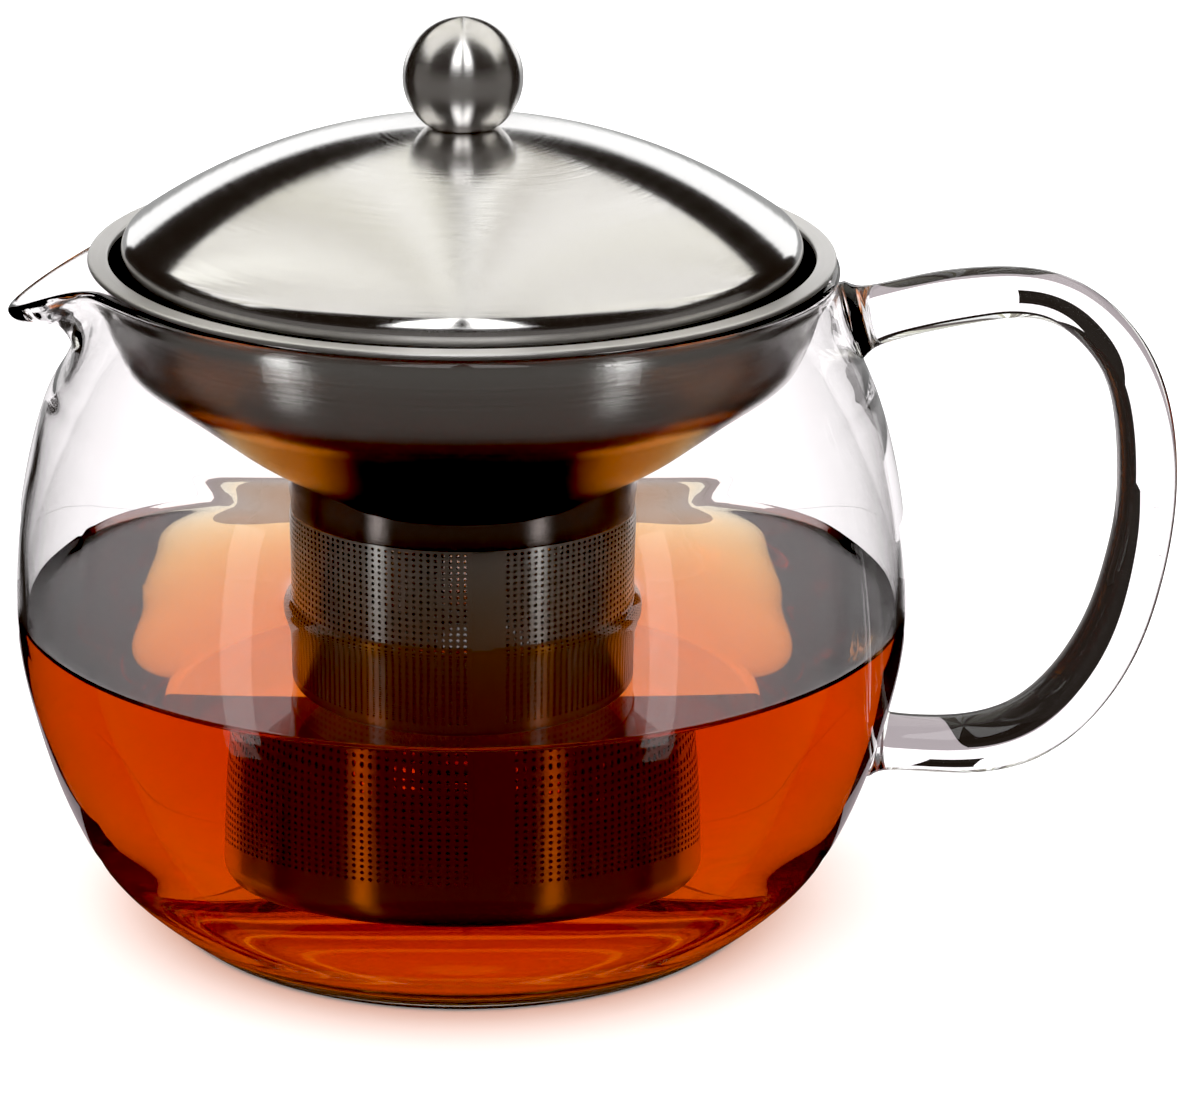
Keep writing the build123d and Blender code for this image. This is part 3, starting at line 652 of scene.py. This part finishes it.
def sky_patch(name, az0, az1, low, high, radius, strength, color=(1, 1, 1), stripes=False, n=96, m=16):
    """A patch of a sphere about the lid. low and high give its edges' elevation in degrees at an azimuth from the back."""
    vs, fs = [], []
    for i in range(n + 1):
        az = az0 + (az1 - az0) * i / n
        for j in range(m + 1):
            el = low(az) + (high(az) - low(az)) * j / m
            a, e = math.radians(az), math.radians(el)
            vs.append((radius * math.sin(a) * math.cos(e), radius * math.cos(a) * math.cos(e), 0.11 + radius * math.sin(e)))
    for i in range(n):
        for j in range(m):
            q = i * (m + 1) + j
            fs.append((q, q + m + 1, q + m + 2, q + 1))
    o = plane(name, [(0, 0, 0)] * 4, strength, color)
    me = bpy.data.meshes.new(name + "_patch")
    me.from_pydata(vs, [], fs)
    me.materials.append(o.data.materials[0])
    o.data = me
    if stripes:
        nt = o.data.materials[0].node_tree
        tc = nt.nodes.new("ShaderNodeTexCoord")
        sep = nt.nodes.new("ShaderNodeSeparateXYZ")
        nt.links.new(tc.outputs["Object"], sep.inputs[0])
        at = nt.nodes.new("ShaderNodeMath")
        at.operation = "ARCTAN2"
        nt.links.new(sep.outputs["X"], at.inputs[0])
        nt.links.new(sep.outputs["Y"], at.inputs[1])
        no = nt.nodes.new("ShaderNodeTexNoise")
        no.noise_dimensions = "1D"
        no.inputs["Scale"].default_value = 17.0
        no.inputs["Detail"].default_value = 2.0
        no.inputs["Roughness"].default_value = 0.6
        nt.links.new(at.outputs[0], no.inputs["W"])
        ramp = nt.nodes.new("ShaderNodeValToRGB")
        e = ramp.color_ramp.elements
        e[0].position, e[0].color = 0.44, (0.17, 0.145, 0.145, 1)
        e[1].position, e[1].color = 0.55, (1.0, 1.0, 1.0, 1)
        k = e.new(0.50)
        k.color = (0.55, 0.54, 0.42, 1)
        nt.links.new(no.outputs["Fac"], ramp.inputs["Fac"])
        # a duller streak straight behind, where the camera is mirrored
        ab = nt.nodes.new("ShaderNodeMath")
        ab.operation = "ABSOLUTE"
        nt.links.new(at.outputs[0], ab.inputs[0])
        mr = nt.nodes.new("ShaderNodeMapRange")
        mr.interpolation_type = "SMOOTHSTEP"
        mr.inputs["From Min"].default_value = 0.02
        mr.inputs["From Max"].default_value = 0.10
        mr.inputs["To Min"].default_value = 0.65
        mr.inputs["To Max"].default_value = 1.0
        nt.links.new(ab.outputs[0], mr.inputs["Value"])
        sc_ = nt.nodes.new("ShaderNodeVectorMath")
        sc_.operation = "SCALE"
        nt.links.new(ramp.outputs["Color"], sc_.inputs[0])
        nt.links.new(mr.outputs["Result"], sc_.inputs["Scale"])
        nt.links.new(sc_.outputs["Vector"], nt.nodes["Emission"].inputs["Color"])
    return o


sky_patch("soft_top", -100, 100, lambda a: 31.0 - 6.0 * math.exp(-((a / 9.0) ** 2)), lambda a: 90.0, 1.3, 1.6, stripes=True)
sky_patch("room_front", 75, 285, lambda a: -62.0, lambda a: 12.0, 1.7, 1.0, (0.13, 0.122, 0.116), n=48, m=6)
card = plane("backdrop", [(0, 0, 0)] * 4, 1.42, (1.0, 0.95, 0.975))
me = bpy.data.meshes.new("backdrop_card")
me.from_pydata([(-0.135, 0.20, 0.0), (0.195, 0.20, 0.0), (0.195, 0.20, 0.032), (0.104, 0.20, 0.032), (0.104, 0.20, 0.105), (0.195, 0.20, 0.105), (0.195, 0.20, 0.195),
                (0.12, 0.20, 0.178), (0.086, 0.20, 0.164), (0.05, 0.20, 0.158), (-0.09, 0.20, 0.157), (-0.135, 0.20, 0.165)],
               [], [(0, 1, 2, 3, 4, 5, 6, 7, 8, 9, 10, 11)])
me.materials.append(card.data.materials[0])
card.data = me
card.visible_glossy = False
for nm, zs, st in (("backdrop_lid_low", (-0.02, 0.117), 0.36), ("backdrop_lid_high", (0.117, 0.160), 1.15)):
    o = plane(nm, [(-0.16, 0.205, zs[0]), (0.195, 0.205, zs[0]), (0.195, 0.205, zs[1] + (0.035 if st > 1 else 0)), (-0.16, 0.205, zs[1] + (0.006 if st > 1 else 0))], st)
    o.visible_transmission = False
for nm, p0, p1 in (("front_top_l", 184, 206), ("front_top_r", 158, 177)):
    o = sky_patch(nm, p0, p1, lambda a: 32.0, lambda a: 86.0, 1.25, 2.2, n=12, m=8)
    o.visible_transmission = False



def strip_light(name, az, width, z0, z1, strength, dist=1.0):
    """az in degrees from the camera's side, + to the right."""
    a = math.radians(az)
    c = Vector((math.sin(a) * dist, -math.cos(a) * dist, 0))
    side = Vector((math.cos(a), math.sin(a), 0)) * width / 2
    p, q = c - side, c + side
    o = plane(name, [(p.x, p.y, z0), (q.x, q.y, z0), (q.x, q.y, z1), (p.x, p.y, z1)], strength)
    o.visible_glossy = False


strip_light("strip_left", -56.5, 0.15, -0.45, 0.35, 1.8)
strip_light("strip_right", 49.5, 0.13, -0.45, 0.35, 1.8)

# the light that comes out of the tea, round the foot
glow = plane("tea_glow", [(0, 0, 0)] * 4, 0.55, (1.0, 0.33, 0.12))
gw = [(r + 0.5, z + 0.3) for r, z in spline(OUTER, 3) if z < 22.0]
vs, fs = [], []
for i in range(96):
    a = 2 * PI * i / 96
    vs += [(r * MM * math.cos(a), r * MM * math.sin(a), z * MM) for r, z in gw]
for i in range(96):
    for j in range(len(gw) - 1):
        q, p = i * len(gw) + j, ((i + 1) % 96) * len(gw) + j
        fs.append((q, p, p + 1, q + 1))
me = bpy.data.meshes.new("tea_glow_ring")
me.from_pydata(vs, [], fs)
me.materials.append(glow.data.materials[0])
glow.data = me
glow.visible_diffuse = True
glow.visible_glossy = False
glow.visible_transmission = False

world = bpy.data.worlds.new("soft light")
bpy.context.scene.world = world
world.use_nodes = True
bg = world.node_tree.nodes["Background"]
bg.inputs["Color"].default_value = (1, 1, 1, 1)
bg.inputs["Strength"].default_value = 2.1
world.cycles_visibility.glossy = False
world.cycles_visibility.transmission = False

# ------------------------------------------------------------------ camera
D, H, P, F = 0.6498, 0.2800, math.radians(18.90), 4367.0
alpha = math.atan((591.0 - 463.0) / F)
right = Vector((1, 0, 0))
up = Vector((0, math.sin(P), math.cos(P)))
fwd = Vector((0, math.cos(P), -math.sin(P)))
fwd2 = math.cos(alpha) * fwd + math.sin(alpha) * right
right2 = math.cos(alpha) * right - math.sin(alpha) * fwd
cam_data = bpy.data.cameras.new("camera")
cam_data.sensor_width = 36.0
cam_data.lens = F / 1182.0 * 36.0
cam_data.clip_start = 0.01
cam_data.clip_end = 50.0
cam = bpy.data.objects.new("camera", cam_data)
bpy.context.scene.collection.objects.link(cam)
rot = Matrix((right2, up, -fwd2)).transposed()
cam.matrix_world = Matrix.Translation((0.0, -D, H)) @ rot.to_4x4()
bpy.context.scene.camera = cam

sc = bpy.context.scene
sc.view_settings.view_transform = "Standard"
sc.view_settings.look = "None"
sc.view_settings.use_curve_mapping = True
sc.view_settings.curve_mapping.black_level = (0.018, 0.018, 0.018)
sc.view_settings.curve_mapping.update()
sc.cycles.max_bounces = 24
sc.cycles.transmission_bounces = 24
sc.cycles.glossy_bounces = 8
sc.cycles.diffuse_bounces = 3
sc.cycles.transparent_max_bounces = 8
sc.cycles.sample_clamp_indirect = 6.0
